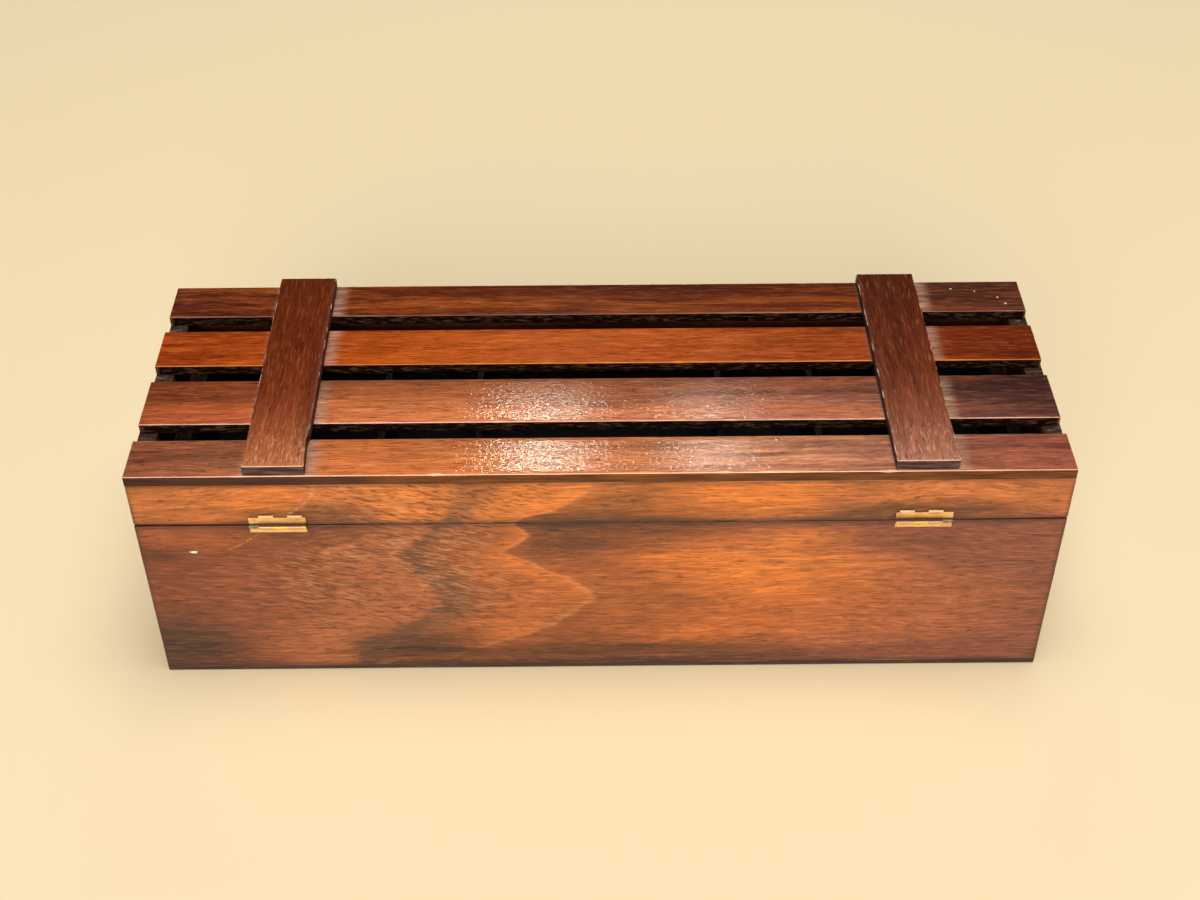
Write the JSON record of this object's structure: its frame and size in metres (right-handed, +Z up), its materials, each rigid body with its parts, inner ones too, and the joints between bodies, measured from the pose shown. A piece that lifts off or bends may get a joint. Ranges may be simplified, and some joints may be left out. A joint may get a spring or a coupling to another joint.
{
  "type": "poker chip case",
  "caption": "Stained wooden box for poker chips and cards, with a slatted hinged lid, brass hinges, a front hook catch and a lift-out chip tray.",
  "frame": {"origin": "middle of the underside, on the surface that the case stands on", "axes": "+X along the length to the right end, +Y to the hinge side, the catch faces -Y, +Z up"},
  "size_m": [0.4012, 0.1418, 0.125],
  "materials": {
    "case_wood": "stained and varnished, worn semi-gloss",
    "slat_wood": "dark stain, streaky semi-gloss varnish",
    "batten_wood": "dark stain, worn edges",
    "bottom_wood": "dark stained thin panel",
    "inner_wood": "stained, matt",
    "felt": "black felt",
    "brass": "worn lacquered brass",
    "steel": "dull steel"
  },
  "bodies": {
    "base": {"base_bottom_panel": "bottom_wood", "base_nails": "steel", "base_back_board": "case_wood", "base_front_board": "case_wood", "base_left_end": "case_wood", "base_right_end": "case_wood", "bottom_felt": "felt", "lower_divider_left": "inner_wood", "lower_divider_right": "inner_wood", "tray_rest_left": "inner_wood", "tray_rest_right": "inner_wood", "hinge_left_base_leaf": "brass", "hinge_left_base_screws": "brass", "hinge_right_base_leaf": "brass", "hinge_right_base_screws": "brass", "hinge_left_pin": "steel", "hinge_right_pin": "steel", "catch_pivot_screw": "brass", "catch_pivot_washer": "brass"},
    "lid": {"lid_back_board": "case_wood", "lid_front_board": "case_wood", "lid_left_end": "case_wood", "lid_right_end": "case_wood", "slat_back": "slat_wood", "slat_mid_back": "slat_wood", "slat_mid_front": "slat_wood", "slat_front": "slat_wood", "batten_left": "batten_wood", "batten_right": "batten_wood", "hinge_left_lid_leaf": "brass", "hinge_left_lid_screws": "brass", "hinge_right_lid_leaf": "brass", "hinge_right_lid_screws": "brass", "catch_stud_screw": "brass", "catch_stud_washer": "brass"},
    "hook": {"catch_hook": "brass"},
    "tray": {"tray_floor": "inner_wood", "tray_front_rail": "inner_wood", "tray_back_rail": "inner_wood", "tray_left_end": "inner_wood", "tray_right_end": "inner_wood", "tray_felt": "felt", "tray_partition_left_1": "inner_wood", "tray_partition_left_2": "inner_wood", "tray_partition_left_3": "inner_wood", "tray_partition_right_1": "inner_wood", "tray_partition_right_2": "inner_wood", "tray_partition_right_3": "inner_wood"}
  },
  "joints": [
    {"name": "lid_hinge", "type": "hinge", "parent": "base", "child": "lid", "pos_m": [0, 0.06925, 0.0924], "axis": [-1, 0, 0], "range_deg": [0, 180]},
    {"name": "catch_swing", "type": "hinge", "parent": "base", "child": "hook", "pos_m": [0, -0.06925, 0.08], "axis": [0, 1, 0], "range_deg": [-160, 180]},
    {"name": "tray_lift", "type": "slide", "parent": "base", "child": "tray", "axis": [0, 0, 1], "range_m": [0, 0.024]}
  ]
}
